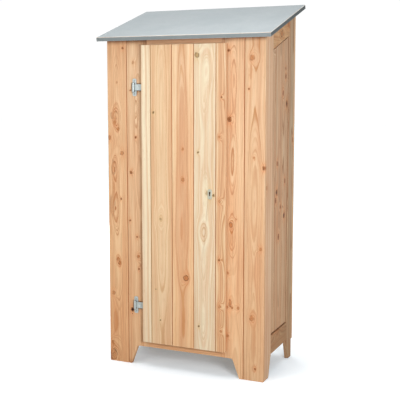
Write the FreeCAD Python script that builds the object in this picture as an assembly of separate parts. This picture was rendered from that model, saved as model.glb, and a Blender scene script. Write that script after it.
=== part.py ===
import FreeCAD, Part
import math
import os

from FreeCAD import Placement, Rotation, Vector

# Garden storage cabinet in larch boards with a folded zinc roof sheet, millimetres.
# It is drawn with x = 0 in the middle, y = 0 on the front face of the fixed boards, +y to the back
# and z = 0 on the ground. The export moves it along y, so that the origin is the middle of the
# roof's outline on the ground.

# Main sizes
BODY_WIDTH = 825.0
SIDE_DEPTH = 431.0
HEIGHT = 1800.0
ROOF_PITCH = 17.8
ROOF_SIDE_OVERHANG = 36.0
ROOF_FRONT_OVERHANG = 42.0
ROOF_SLOPE_LENGTH = 562.0

# Boards
BOARD_THICKNESS = 20.0
BOARD_COVER = 113.4
JOINT_GAP = 2.4
JOINT_PLAY = 0.2
TONGUE_LENGTH = 8.0
TONGUE_FROM = 0.35
TONGUE_TO = 0.65
EDGE_CHAMFER = 1.2
RAIL_WIDTH = 91.0
BATTEN = 20.0

# Front wall
OUTER_LEFT_WIDTH = 108.0
OUTER_RIGHT_WIDTH = 101.0
OPENING_LEFT = 220.0
OPENING_TOP = 1545.0
FRONT_FOOT_WIDTH = 122.0
FRONT_ARCH_INSET = 158.0
FRONT_ARCH_HEIGHT = 95.0
FRONT_ARCH_RADIUS = 12.0

# Side walls
FRONT_STILE_EDGE = 108.0
REAR_STILE_EDGE = 352.0
SIDE_FOOT_TAPER = 34.0
SIDE_ARCH_HEIGHT = 105.0
SIDE_RECESS = 5.0
SIDE_FIRST_BOARD = 51.0
PANEL_SLOT = 7.0

# Back wall, floor and shelves
BACK_BOARD_COUNT = 6
BACK_WALL_BOTTOM = 92.0
FLOOR_TOP = 213.0
SHELF_THICKNESS = 18.0
SHELF_FRONT = 45.0
SHELF_PLAY = 1.0
SHELF_TOPS = {"low": 668.0, "high": 1118.0}
CLEAT_HEIGHT = 30.0
BEARER_WIDTH = 30.0
HEAD_BATTEN_HEIGHT = 66.0
PANEL_BATTEN_HEIGHT = 50.0

# Roof
DECK_THICKNESS = 18.0
SHEET_THICKNESS = 1.0
RIM_HEIGHT = 20.0
CORNER_TAB = 14.0

# Door
DOOR_LEFT = 200.0
DOOR_WIDTH = 438.5
DOOR_BOTTOM = 127.0
DOOR_TOP = 1587.0
DOOR_GAP = 4.0
DOOR_FIRST_BOARD = 50.6
DOOR_BOARD_COUNT = 5
LEDGE_LEFT = 226.0
LEDGE_RIGHT = 605.0
LEDGE_WIDTH = 90.0
LEDGE_BOTTOMS = {"low": 342.0, "middle": 844.0, "high": 1264.0}

# Hinges: a plate on the fixed board, a strap behind the door boards, folded on one pin
HINGE_X = 147.0
HINGE_HEIGHTS = {"low": 305.0, "high": 1386.0}
BARREL_RADIUS = 5.5
BARREL_STANDOFF = 0.4
PIN_RADIUS = 3.0
PIN_PLAY = 0.05
PIN_HEAD_RADIUS = 4.2
PIN_HEAD_HEIGHT = 1.6
BARREL_LENGTH = 40.0
STRAP_KNUCKLE = 28.0
KNUCKLE_PLAY = 0.4
PLATE_HEIGHT = 85.0
PLATE_RIGHT = 16.0
PLATE_LEFT = 5.5
PLATE_THICKNESS = 1.5
PLATE_CORNER = 7.0
STRAP_THICKNESS = 2.0
STRAP_HEIGHT = 30.0
STRAP_LENGTH = 255.0
STRAP_TIP = 12.0
STRAP_ROOT = 7.0
DIMPLE_OFFSET = 26.0
DIMPLE_RADIUS = 8.0
DIMPLE_FLOOR_RADIUS = 4.5
DIMPLE_DEPTH = 1.2
PLATE_SCREW_OFFSET = 31.5
PLATE_SCREW_X = 5.5
STRAP_SCREW_XS = (95.0, 145.0, 195.0, 235.0)

# Lock: case on the middle ledge, bolt, keep on the fixed board, escutcheon on the door
KEYHOLE_X = 560.4
KEYHOLE_Z = 892.0
KEYHOLE_RADIUS = 5.0
KEYHOLE_SLOT = 5.6
KEYHOLE_DROP = 15.0
ESCUTCHEON_WIDTH = 22.0
ESCUTCHEON_HEIGHT = 49.0
ESCUTCHEON_THICKNESS = 2.4
ESCUTCHEON_EDGE = 1.4
ESCUTCHEON_DROP = 7.0
CASE_LEFT = 548.0
CASE_RIGHT = 602.0
CASE_BOTTOM = 848.0
CASE_TOP = 930.0
CASE_DEPTH = 18.0
CASE_WALL = 1.6
BOLT_LEFT = 556.0
BOLT_RIGHT = 603.0
BOLT_BOTTOM = 900.0
BOLT_TOP = 918.0
BOLT_THICKNESS = 8.0
BOLT_CLEARANCE = 1.0
BOLT_PLAY = 0.4
KEEP_WIDTH = 20.0
KEEP_WALL = 2.5
KEEP_FOOT = 14.0

# Screws
SCREW_HEAD_RADIUS = 3.8
SCREW_HEAD_CROWN = 2.6
SCREW_HEAD_HEIGHT = 1.4
SCREW_SHANK_RADIUS = 1.6
SCREW_SHORT = 14.0
SCREW_LONG = 30.0
SCREW_CROSS_LENGTH = 3.4
SCREW_CROSS_WIDTH = 0.8
SCREW_CROSS_DEPTH = 0.8
LEDGE_SCREW_INSET = 22.0
CASE_SCREW_INSET = 6.0
ESCUTCHEON_PIN_RADIUS = 1.5
ESCUTCHEON_PIN_LENGTH = 10.0
ESCUTCHEON_PIN_INSET = 5.0
ESCUTCHEON_PIN_CROWN = 0.8

# How far a cutting solid reaches past what it cuts
PAST = 1.0
PARALLEL = 0.99

# Sizes that follow from those above
half_width = BODY_WIDTH / 2
opening_right = BODY_WIDTH - OUTER_RIGHT_WIDTH - BOARD_COVER
pitch = math.radians(ROOF_PITCH)
roof_half_width = half_width + ROOF_SIDE_OVERHANG
roof_front_top = HEIGHT - ROOF_SLOPE_LENGTH * math.sin(pitch)
deck_under = SHEET_THICKNESS + DECK_THICKNESS
tab_reach = SHEET_THICKNESS * (math.cos(pitch) - math.sin(pitch))
roof_low_y = -ROOF_FRONT_OVERHANG - tab_reach
roof_high_y = (
    -ROOF_FRONT_OVERHANG
    + ROOF_SLOPE_LENGTH * math.cos(pitch)
    + RIM_HEIGHT * math.sin(pitch)
)
centre_y = (roof_low_y + roof_high_y) / 2
back_face = SIDE_DEPTH + BOARD_THICKNESS
rail_drop = RAIL_WIDTH / math.cos(pitch)
inner_half_width = half_width - BOARD_THICKNESS
floor_underside = FLOOR_TOP - SHELF_THICKNESS
door_back = -DOOR_GAP
door_front = door_back - BOARD_THICKNESS
ledge_back = door_back + BOARD_THICKNESS
pivot_y = -BARREL_RADIUS - BARREL_STANDOFF
case_back = ledge_back + CASE_DEPTH


def box(x0, x1, y0, y1, z0, z1):
    """Plain block between two corners, x counted from the middle of the cabinet."""
    return Part.makeBox(x1 - x0, y1 - y0, z1 - z0, Vector(x0, y0, z0))


def from_left(x):
    """Turns a distance from the left edge of the body into an x of the frame."""
    return x - half_width


def outline(points):
    """Flat face inside a closed outline of points."""
    return Part.Face(Part.makePolygon(points + [points[0]]))


def rounded_plate(points, radius, thickness):
    """Flat plate across y inside an outline, with its corners rounded; it grows towards -y."""
    solid = outline(points).extrude(Vector(0, -thickness, 0))
    edges = [e for e in solid.Edges if abs(e.tangentAt(e.FirstParameter).y) > PARALLEL]
    return solid.makeFillet(radius, edges)


def group(solids):
    """Several separate solids that are written as one piece."""
    return Part.makeCompound(solids)


def save(name, shape):
    """Writes one piece, moved so that the origin is the middle of the roof's outline."""
    placed = shape.copy()
    placed.translate(Vector(0, -centre_y, 0))
    placed.exportStep("parts/" + name + ".step")


def mirrored(shape):
    """The same piece for the other side of the cabinet."""
    return shape.mirror(Vector(0, 0, 0), Vector(1, 0, 0))


def above_roof_line(drop):
    """Everything above a plane that lies a vertical distance under the deck's lower face."""
    reach = 2 * HEIGHT
    block = Part.makeBox(reach, reach, HEIGHT, Vector(-reach / 2, -reach / 2, -deck_under))
    block.Placement = Placement(
        Vector(0, -ROOF_FRONT_OVERHANG, roof_front_top - drop),
        Rotation(Vector(1, 0, 0), ROOF_PITCH),
    )
    return block


def board(width, length, thickness=BOARD_THICKNESS, groove=False, tongue=False):
    """Upright board with its face towards -y, from x = 0 to its width, joint on either edge."""
    tongue_front = thickness * TONGUE_FROM
    tongue_back = thickness * TONGUE_TO
    chamfer = EDGE_CHAMFER
    face_right = width - JOINT_GAP if tongue else width
    points = [(chamfer, 0), (face_right - chamfer, 0), (face_right, chamfer)]
    if tongue:
        points += [
            (face_right, tongue_front),
            (width + TONGUE_LENGTH, tongue_front),
            (width + TONGUE_LENGTH, tongue_back),
            (width - JOINT_PLAY, tongue_back),
            (width - JOINT_PLAY, thickness),
        ]
    else:
        points += [(width, thickness)]
    points += [(0, thickness)]
    if groove:
        groove_depth = TONGUE_LENGTH + JOINT_PLAY
        points += [
            (0, tongue_back + JOINT_PLAY),
            (groove_depth, tongue_back + JOINT_PLAY),
            (groove_depth, tongue_front - JOINT_PLAY),
            (0, tongue_front - JOINT_PLAY),
        ]
    points += [(0, chamfer)]
    return outline([Vector(x, y, 0) for x, y in points]).extrude(Vector(0, 0, length))


def laid(upright, width):
    """Turns an upright board to lie along +x, with its lower edge at z = 0."""
    turned = upright.copy()
    turned.rotate(Vector(0, 0, 0), Vector(0, 1, 0), 90)
    turned.translate(Vector(0, 0, width))
    return turned


def at_front(shape, x, z=0.0, y=0.0):
    """Places a piece on the front wall, x counted from the left edge of the body."""
    placed = shape.copy()
    placed.translate(Vector(from_left(x), y, z))
    return placed


def at_right(shape, y, z=0.0, recess=0.0):
    """Turns a piece to face +x and places it on the right wall, y counted from the front."""
    placed = shape.copy()
    placed.rotate(Vector(0, 0, 0), Vector(0, 0, 1), 90)
    placed.translate(Vector(half_width - recess, y, z))
    return placed


def at_back(shape, x, z):
    """Turns a piece to face +y and places it on the back wall, x counted from its right edge."""
    placed = shape.copy()
    placed.rotate(Vector(0, 0, 0), Vector(0, 0, 1), 180)
    placed.translate(Vector(half_width - x, back_face, z))
    return placed


def front_arch():
    """The opening between the front feet, as a solid to cut away."""
    foot = half_width - FRONT_FOOT_WIDTH
    top = half_width - FRONT_ARCH_INSET
    points = [
        Vector(-foot, -PAST, 0),
        Vector(foot, -PAST, 0),
        Vector(top, -PAST, FRONT_ARCH_HEIGHT),
        Vector(-top, -PAST, FRONT_ARCH_HEIGHT),
    ]
    solid = outline(points).extrude(Vector(0, BOARD_THICKNESS + 2 * PAST, 0))
    corners = [
        e
        for e in solid.Edges
        if e.BoundBox.ZMin > FRONT_ARCH_HEIGHT - PAST and e.BoundBox.YLength > BOARD_THICKNESS
    ]
    return solid.makeFillet(FRONT_ARCH_RADIUS, corners)


def side_foot(corner_y, arch_y):
    """The wedge that narrows a side stile to its foot, as a solid to cut away."""
    taper = SIDE_FOOT_TAPER if arch_y > corner_y else -SIDE_FOOT_TAPER
    points = [
        Vector(half_width + PAST, arch_y, -PAST),
        Vector(half_width + PAST, arch_y - taper, -PAST),
        Vector(half_width + PAST, arch_y - taper, 0),
        Vector(half_width + PAST, arch_y, SIDE_ARCH_HEIGHT),
    ]
    return outline(points).extrude(Vector(-BOARD_THICKNESS - 2 * PAST, 0, 0))


def front_wall():
    """The four fixed front boards and the two rails that close the door opening."""
    arch = front_arch()
    sky = above_roof_line(0)
    outer_left = board(OUTER_LEFT_WIDTH, HEIGHT, tongue=True)
    inner_left = board(OPENING_LEFT - OUTER_LEFT_WIDTH, HEIGHT, groove=True)
    inner_right = board(BOARD_COVER, HEIGHT, tongue=True)
    outer_right = board(OUTER_RIGHT_WIDTH, HEIGHT, groove=True)
    save("front_outer_board_left", at_front(outer_left, 0).cut(sky))
    save("front_inner_board_left", at_front(inner_left, OUTER_LEFT_WIDTH).cut(sky).cut(arch))
    save("front_inner_board_right", at_front(inner_right, opening_right).cut(sky).cut(arch))
    save("front_outer_board_right", at_front(outer_right, opening_right + BOARD_COVER).cut(sky))

    span = opening_right - OPENING_LEFT
    low_width = FLOOR_TOP - FRONT_ARCH_HEIGHT
    low_rail = laid(board(low_width, span), low_width)
    save("front_bottom_rail", at_front(low_rail, OPENING_LEFT, FRONT_ARCH_HEIGHT))
    high_rail = laid(board(BOARD_COVER, span), BOARD_COVER)
    save("front_top_rail", at_front(high_rail, OPENING_LEFT, OPENING_TOP).cut(sky))


def side_wall():
    """Stiles, rails and three upright boards of each side, set back in the frame."""
    sky = above_roof_line(0)
    front_stile = at_right(board(FRONT_STILE_EDGE - BOARD_THICKNESS, HEIGHT), BOARD_THICKNESS)
    rear_stile = at_right(board(SIDE_DEPTH - REAR_STILE_EDGE, HEIGHT), REAR_STILE_EDGE)
    front_stile = front_stile.cut(sky).cut(side_foot(0, FRONT_STILE_EDGE))
    rear_stile = rear_stile.cut(sky).cut(side_foot(SIDE_DEPTH, REAR_STILE_EDGE))

    span = REAR_STILE_EDGE - FRONT_STILE_EDGE
    low_rail = laid(board(RAIL_WIDTH, span), RAIL_WIDTH)
    low_rail = at_right(low_rail, FRONT_STILE_EDGE, SIDE_ARCH_HEIGHT)
    high_rail = box(inner_half_width, half_width, FRONT_STILE_EDGE, REAR_STILE_EDGE, 0, HEIGHT)
    high_rail = high_rail.cut(sky).common(above_roof_line(rail_drop))

    panel_bottom = SIDE_ARCH_HEIGHT + RAIL_WIDTH + PANEL_SLOT
    panel_sky = above_roof_line(rail_drop + PANEL_SLOT)
    panel_thickness = BOARD_THICKNESS - SIDE_RECESS
    last_width = span - SIDE_FIRST_BOARD - BOARD_COVER
    widths = {"front": SIDE_FIRST_BOARD, "middle": BOARD_COVER, "rear": last_width}
    y = FRONT_STILE_EDGE
    for place, width in widths.items():
        plank = board(
            width,
            HEIGHT,
            thickness=panel_thickness,
            groove=place != "front",
            tongue=place != "rear",
        )
        plank = at_right(plank, y, panel_bottom, SIDE_RECESS).cut(panel_sky)
        save_pair("side_panel_board_" + place, plank)
        y += width

    save_pair("side_front_stile", front_stile)
    save_pair("side_rear_stile", rear_stile)
    save_pair("side_bottom_rail", low_rail)
    save_pair("side_top_rail", high_rail)


def save_pair(name, right_piece):
    """Writes the right piece and its mirror image."""
    save(name + "_right", right_piece)
    save(name + "_left", mirrored(right_piece))


def back_wall():
    """Upright boards nailed over the rear edges of the sides, and their upper batten."""
    sky = above_roof_line(0)
    width = BODY_WIDTH / BACK_BOARD_COUNT
    for index in range(BACK_BOARD_COUNT):
        last = index == BACK_BOARD_COUNT - 1
        plank = board(width, HEIGHT, groove=index > 0, tongue=not last)
        plank = at_back(plank, index * width, BACK_WALL_BOTTOM).cut(sky)
        save("back_board_" + str(index + 1), plank)
    batten = box(
        -inner_half_width, inner_half_width, SIDE_DEPTH - BATTEN, SIDE_DEPTH, 0, HEIGHT
    )
    batten = batten.cut(sky).common(above_roof_line(HEAD_BATTEN_HEIGHT))
    save("back_top_batten", batten)


def inside():
    """Floor on two bearers, two shelves on cleats, and the battens behind the top edges."""
    sky = above_roof_line(0)
    save(
        "floor_panel",
        box(
            -inner_half_width,
            inner_half_width,
            BOARD_THICKNESS,
            SIDE_DEPTH,
            floor_underside,
            FLOOR_TOP,
        ),
    )
    bearer = box(
        inner_half_width - BEARER_WIDTH,
        inner_half_width,
        BOARD_THICKNESS,
        SIDE_DEPTH,
        floor_underside - CLEAT_HEIGHT,
        floor_underside,
    )
    save_pair("floor_bearer", bearer)
    for level, top in SHELF_TOPS.items():
        underside = top - SHELF_THICKNESS
        reach = inner_half_width - SHELF_PLAY
        rear = SIDE_DEPTH - SHELF_PLAY
        save("shelf_" + level, box(-reach, reach, SHELF_FRONT, rear, underside, top))
        cleat = box(
            inner_half_width - BATTEN,
            inner_half_width,
            SHELF_FRONT,
            rear,
            underside - CLEAT_HEIGHT,
            underside,
        )
        save_pair("shelf_cleat_" + level, cleat)

    head = box(
        -inner_half_width,
        inner_half_width,
        BOARD_THICKNESS,
        BOARD_THICKNESS + BATTEN,
        0,
        HEIGHT,
    )
    save("front_head_batten", head.cut(sky).common(above_roof_line(HEAD_BATTEN_HEIGHT)))
    batten = box(
        inner_half_width - BATTEN,
        inner_half_width,
        BOARD_THICKNESS + BATTEN,
        SIDE_DEPTH - BATTEN,
        0,
        HEIGHT,
    )
    batten = batten.cut(above_roof_line(rail_drop - PANEL_BATTEN_HEIGHT / 2))
    batten = batten.common(above_roof_line(rail_drop + PANEL_BATTEN_HEIGHT / 2))
    save_pair("side_panel_batten", batten)


def on_slope(shape):
    """Tilts a piece of the roof, drawn flat with its lower edge at y = 0 and its top at z = 0."""
    tilted = shape.copy()
    tilted.rotate(Vector(0, 0, 0), Vector(1, 0, 0), ROOF_PITCH)
    tilted.translate(Vector(0, -ROOF_FRONT_OVERHANG, roof_front_top))
    return tilted


def roof():
    """Solid deck with a zinc sheet over it, folded down on all four edges."""
    skin = SHEET_THICKNESS
    inner_x = roof_half_width - skin
    inner_y = ROOF_SLOPE_LENGTH - skin
    deck = box(-inner_x, inner_x, skin, inner_y, -deck_under, -skin)
    sheet = box(-roof_half_width, roof_half_width, 0, ROOF_SLOPE_LENGTH, -RIM_HEIGHT, 0)
    sheet = sheet.cut(box(-inner_x, inner_x, skin, inner_y, -RIM_HEIGHT - PAST, -skin))
    for x0 in (-roof_half_width, roof_half_width - CORNER_TAB):
        sheet = sheet.fuse(box(x0, x0 + CORNER_TAB, -skin, 0, -RIM_HEIGHT, -skin))
    save("roof_deck", on_slope(deck))
    save("roof_sheet", on_slope(sheet.removeSplitter()))


def keyhole(y0, y1):
    """Round hole with a slot under it, as a solid to cut away from y0 to y1."""
    x = from_left(KEYHOLE_X)
    along = Vector(0, 1, 0)
    eye = Part.makeCylinder(KEYHOLE_RADIUS, y1 - y0, Vector(x, y0, KEYHOLE_Z), along)
    slot_half = KEYHOLE_SLOT / 2
    slot = box(x - slot_half, x + slot_half, y0, y1, KEYHOLE_Z - KEYHOLE_DROP, KEYHOLE_Z)
    return eye.fuse(slot)


def door():
    """Five boards held by three ledges on the back."""
    length = DOOR_TOP - DOOR_BOTTOM
    key_way = keyhole(door_front - PAST, ledge_back + PAST)
    x = DOOR_LEFT
    for index in range(DOOR_BOARD_COUNT):
        first = index == 0
        last = index == DOOR_BOARD_COUNT - 1
        width = BOARD_COVER
        if first:
            width = DOOR_FIRST_BOARD
        if last:
            width = DOOR_LEFT + DOOR_WIDTH - x
        plank = board(width, length, groove=not first, tongue=not last)
        plank = at_front(plank, x, DOOR_BOTTOM, door_front)
        if x < KEYHOLE_X < x + width:
            plank = plank.cut(key_way)
        save("door_board_" + str(index + 1), plank)
        x += width
    for level, bottom in LEDGE_BOTTOMS.items():
        ledge = box(
            from_left(LEDGE_LEFT),
            from_left(LEDGE_RIGHT),
            door_back,
            ledge_back,
            bottom,
            bottom + LEDGE_WIDTH,
        )
        if level == "middle":
            ledge = ledge.cut(key_way)
        save("door_ledge_" + level, ledge)


def round_bar(radius, height, z):
    """Upright cylinder on the hinge axis."""
    return Part.makeCylinder(radius, height, Vector(from_left(HINGE_X), pivot_y, z))


def hinge_plate(z):
    """Plate on the fixed board, with the two outer knuckles; z is the middle of the hinge."""
    x = from_left(HINGE_X)
    corners = [
        Vector(x - PLATE_LEFT, 0, z - PLATE_HEIGHT / 2),
        Vector(x + PLATE_RIGHT, 0, z - PLATE_HEIGHT / 2),
        Vector(x + PLATE_RIGHT, 0, z + PLATE_HEIGHT / 2),
        Vector(x - PLATE_LEFT, 0, z + PLATE_HEIGHT / 2),
    ]
    plate = rounded_plate(corners, PLATE_CORNER, PLATE_THICKNESS)
    window_half = STRAP_KNUCKLE / 2 + KNUCKLE_PLAY
    window_left = x - 2 * PLATE_LEFT
    window_right = x + STRAP_ROOT
    window = box(
        window_left, window_right, -BARREL_RADIUS, PAST, z - window_half, z + window_half
    )
    plate = plate.cut(window)
    knuckle = BARREL_LENGTH / 2 - window_half
    for start in (z - BARREL_LENGTH / 2, z + window_half):
        plate = plate.fuse(round_bar(BARREL_RADIUS, knuckle, start))
    bore = round_bar(PIN_RADIUS, BARREL_LENGTH + 2 * PAST, z - BARREL_LENGTH / 2 - PAST)
    return plate.cut(bore).removeSplitter()


def hinge_strap(z):
    """Strap behind the door boards, with the middle knuckle and a round pressed dimple."""
    x = from_left(HINGE_X)
    near = x + STRAP_ROOT
    far = x + STRAP_LENGTH
    half = STRAP_HEIGHT / 2
    corners = [
        Vector(near, door_back, z - half),
        Vector(far - STRAP_TIP, door_back, z - half),
        Vector(far, door_back, z - half / 2),
        Vector(far, door_back, z + half / 2),
        Vector(far - STRAP_TIP, door_back, z + half),
        Vector(near, door_back, z + half),
    ]
    strap = outline(corners).extrude(Vector(0, STRAP_THICKNESS, 0))
    root_half = STRAP_KNUCKLE / 2
    root = box(x, near, door_back, door_back + STRAP_THICKNESS, z - root_half, z + root_half)
    barrel = round_bar(BARREL_RADIUS, STRAP_KNUCKLE, z - root_half)
    strap = strap.fuse(root).fuse(barrel)
    bore = round_bar(PIN_RADIUS + PIN_PLAY, STRAP_KNUCKLE + 2 * PAST, z - root_half - PAST)
    dimple_at = Vector(x + DIMPLE_OFFSET, door_back, z)
    along = Vector(0, 1, 0)
    dimple = Part.makeCone(
        DIMPLE_RADIUS, DIMPLE_FLOOR_RADIUS, DIMPLE_DEPTH, dimple_at, along
    )
    return strap.cut(bore).cut(dimple).removeSplitter()


def screw(x, y, z, toward, length):
    """Cross-head wood screw at x from the left; its head stands on y, towards -y or +y."""
    base = Vector(from_left(x), y, z)
    out = Vector(0, toward, 0)
    head = Part.makeCone(SCREW_HEAD_RADIUS, SCREW_HEAD_CROWN, SCREW_HEAD_HEIGHT, base, out)
    top = y + toward * SCREW_HEAD_HEIGHT
    floor = top - toward * SCREW_CROSS_DEPTH
    low_y = min(top, floor)
    high_y = max(top, floor)
    long_half = SCREW_CROSS_LENGTH / 2
    short_half = SCREW_CROSS_WIDTH / 2
    for half_x, half_z in ((long_half, short_half), (short_half, long_half)):
        slot = box(base.x - half_x, base.x + half_x, low_y, high_y, z - half_z, z + half_z)
        head = head.cut(slot)
    shank = Part.makeCylinder(SCREW_SHANK_RADIUS, length, base, -out)
    return head.fuse(shank).removeSplitter()


def frame_screws():
    """Screws of the hinge plates and the keep, which go into the fixed boards."""
    screws = []
    for z in HINGE_HEIGHTS.values():
        for offset in (-PLATE_SCREW_OFFSET, PLATE_SCREW_OFFSET):
            x = HINGE_X + PLATE_SCREW_X
            screws.append(screw(x, -PLATE_THICKNESS, z + offset, -1, SCREW_SHORT))
    keep_x = opening_right + BOLT_CLEARANCE + KEEP_WIDTH / 2
    reach = 2 * BOLT_CLEARANCE + (KEEP_FOOT + KEEP_WALL) / 2
    for z in (BOLT_BOTTOM - reach, BOLT_TOP + reach):
        screws.append(screw(keep_x, BOARD_THICKNESS + KEEP_WALL, z, 1, SCREW_SHORT))
    save("frame_screws", group(screws))


def door_screws():
    """Screws of the ledges, the straps and the lock case, and the pins of the escutcheon."""
    screws = []
    lefts = [DOOR_LEFT, DOOR_LEFT + DOOR_FIRST_BOARD]
    while len(lefts) < DOOR_BOARD_COUNT:
        lefts.append(lefts[-1] + BOARD_COVER)
    rights = lefts[1:] + [DOOR_LEFT + DOOR_WIDTH]
    for bottom in LEDGE_BOTTOMS.values():
        for index, (left, right) in enumerate(zip(lefts, rights)):
            x = (max(left, LEDGE_LEFT) + min(right, LEDGE_RIGHT)) / 2
            inset = LEDGE_SCREW_INSET if index % 2 else LEDGE_WIDTH - LEDGE_SCREW_INSET
            if not CASE_LEFT < x < CASE_RIGHT or bottom != LEDGE_BOTTOMS["middle"]:
                screws.append(screw(x, ledge_back, bottom + inset, 1, SCREW_LONG))
    for z in HINGE_HEIGHTS.values():
        for offset in STRAP_SCREW_XS:
            strap_back = door_back + STRAP_THICKNESS
            screws.append(screw(HINGE_X + offset, strap_back, z, 1, SCREW_SHORT))
    for x in (CASE_LEFT + CASE_SCREW_INSET, CASE_RIGHT - CASE_SCREW_INSET):
        for z in (CASE_BOTTOM + CASE_SCREW_INSET, CASE_TOP - CASE_SCREW_INSET):
            screws.append(screw(x, case_back, z, 1, SCREW_LONG))
    reach = ESCUTCHEON_HEIGHT / 2 - ESCUTCHEON_PIN_INSET
    middle = KEYHOLE_Z - ESCUTCHEON_DROP
    pin_front = door_front - ESCUTCHEON_THICKNESS - ESCUTCHEON_PIN_CROWN
    for z in (middle - reach, middle + reach):
        start = Vector(from_left(KEYHOLE_X), pin_front, z)
        pin = Part.makeCylinder(
            ESCUTCHEON_PIN_RADIUS, ESCUTCHEON_PIN_LENGTH, start, Vector(0, 1, 0)
        )
        screws.append(pin)
    save("door_screws", group(screws))


def hinges():
    """Both hinges with their pins."""
    pins = []
    for level, z in HINGE_HEIGHTS.items():
        save("hinge_plate_" + level, hinge_plate(z))
        save("hinge_strap_" + level, hinge_strap(z))
        pin = round_bar(PIN_RADIUS, BARREL_LENGTH, z - BARREL_LENGTH / 2)
        for end in (z - BARREL_LENGTH / 2 - PIN_HEAD_HEIGHT, z + BARREL_LENGTH / 2):
            pin = pin.fuse(round_bar(PIN_HEAD_RADIUS, PIN_HEAD_HEIGHT, end))
        pins.append(pin.removeSplitter())
    save("hinge_pins", group(pins))


def lock():
    """Rim lock case, sliding bolt, keep and escutcheon."""
    left = from_left(CASE_LEFT)
    right = from_left(CASE_RIGHT)
    wall = CASE_WALL
    bolt_front = ledge_back + wall + (CASE_DEPTH - 2 * wall - BOLT_THICKNESS) / 2
    bolt_back = bolt_front + BOLT_THICKNESS
    case = box(left, right, ledge_back, case_back, CASE_BOTTOM, CASE_TOP)
    case = case.cut(
        box(
            left + wall,
            right - wall,
            ledge_back - PAST,
            case_back - wall,
            CASE_BOTTOM + wall,
            CASE_TOP - wall,
        )
    )
    case = case.cut(
        box(
            right - 2 * wall,
            right + PAST,
            bolt_front - BOLT_PLAY,
            bolt_back + BOLT_PLAY,
            BOLT_BOTTOM - BOLT_PLAY,
            BOLT_TOP + BOLT_PLAY,
        )
    )
    save("lock_case", case)
    bolt = box(
        from_left(BOLT_LEFT), from_left(BOLT_RIGHT), bolt_front, bolt_back, BOLT_BOTTOM, BOLT_TOP
    )
    notch_at = Vector(from_left(KEYHOLE_X) + KEYHOLE_RADIUS, bolt_front - PAST, BOLT_BOTTOM)
    notch = Part.makeCylinder(
        KEYHOLE_RADIUS, BOLT_THICKNESS + 2 * PAST, notch_at, Vector(0, 1, 0)
    )
    save("lock_bolt", bolt.cut(notch))

    keep_left = from_left(opening_right) + BOLT_CLEARANCE
    keep_right = keep_left + KEEP_WIDTH
    inside_low = BOLT_BOTTOM - 2 * BOLT_CLEARANCE
    inside_high = BOLT_TOP + 2 * BOLT_CLEARANCE
    inside_back = bolt_back + 2 * BOLT_CLEARANCE
    bridge = box(
        keep_left,
        keep_right,
        BOARD_THICKNESS,
        inside_back + KEEP_WALL,
        inside_low - KEEP_WALL,
        inside_high + KEEP_WALL,
    )
    feet = box(
        keep_left,
        keep_right,
        BOARD_THICKNESS,
        BOARD_THICKNESS + KEEP_WALL,
        inside_low - KEEP_FOOT,
        inside_high + KEEP_FOOT,
    )
    passage = box(
        keep_left - PAST,
        keep_right + PAST,
        BOARD_THICKNESS - PAST,
        inside_back,
        inside_low,
        inside_high,
    )
    save("lock_keep", bridge.fuse(feet).cut(passage).removeSplitter())

    x = from_left(KEYHOLE_X)
    middle = KEYHOLE_Z - ESCUTCHEON_DROP
    half = ESCUTCHEON_WIDTH / 2
    straight = ESCUTCHEON_HEIGHT / 2 - half
    out = Vector(0, -1, 0)
    cover_front = door_front - ESCUTCHEON_THICKNESS
    cover = box(x - half, x + half, cover_front, door_front, middle - straight, middle + straight)
    for z in (middle - straight, middle + straight):
        end = Part.makeCylinder(half, ESCUTCHEON_THICKNESS, Vector(x, door_front, z), out)
        cover = cover.fuse(end)
    cover = cover.removeSplitter()
    rim = [e for e in cover.Edges if e.BoundBox.YMax < cover_front + PAST / 2]
    cover = cover.makeChamfer(ESCUTCHEON_EDGE, rim)
    cover = cover.cut(keyhole(cover_front - PAST, door_front + PAST))
    save("lock_escutcheon", cover.removeSplitter())


os.makedirs("parts", exist_ok=True)
front_wall()
side_wall()
back_wall()
inside()
roof()
door()
hinges()
lock()
frame_screws()
door_screws()
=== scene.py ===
import math
import random
from collections import namedtuple

import bmesh
import bpy
from mathutils import Matrix, Vector


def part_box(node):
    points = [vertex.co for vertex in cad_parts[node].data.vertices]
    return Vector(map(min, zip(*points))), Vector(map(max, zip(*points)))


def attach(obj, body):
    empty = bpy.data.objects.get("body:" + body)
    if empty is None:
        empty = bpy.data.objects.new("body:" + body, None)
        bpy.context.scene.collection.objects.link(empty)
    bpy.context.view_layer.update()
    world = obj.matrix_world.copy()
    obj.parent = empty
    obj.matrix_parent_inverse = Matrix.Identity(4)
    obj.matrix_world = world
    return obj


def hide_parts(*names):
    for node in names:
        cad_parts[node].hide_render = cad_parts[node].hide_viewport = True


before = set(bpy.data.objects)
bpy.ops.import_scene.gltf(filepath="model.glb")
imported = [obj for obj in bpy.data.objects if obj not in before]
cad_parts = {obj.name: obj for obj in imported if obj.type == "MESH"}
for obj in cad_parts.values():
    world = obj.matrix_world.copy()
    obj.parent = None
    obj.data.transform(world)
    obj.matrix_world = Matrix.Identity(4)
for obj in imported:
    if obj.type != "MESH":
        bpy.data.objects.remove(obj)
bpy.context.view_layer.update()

# Looks of a garden storage cabinet: planed larch boards, a folded zinc roof sheet and zinc plated
# fittings. Lengths are metres in the frame of the construction, unless a name says millimetres.

MM = 0.001

# Where the camera stands and how it looks at the cabinet, with its turns in degrees
CAMERA_PLACE = (1.6312, -3.7509, 1.3635)
CAMERA_TURN_LEFT = 23.67
CAMERA_TILT_DOWN = 6.17
CAMERA_LENS_MM = 73.24
CAMERA_SENSOR_MM = 36.0
CAMERA_SHIFT_Y = -0.05

# Left front foot of the body, from which knots are measured
BODY_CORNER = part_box("front_outer_board_left")[0]


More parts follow.
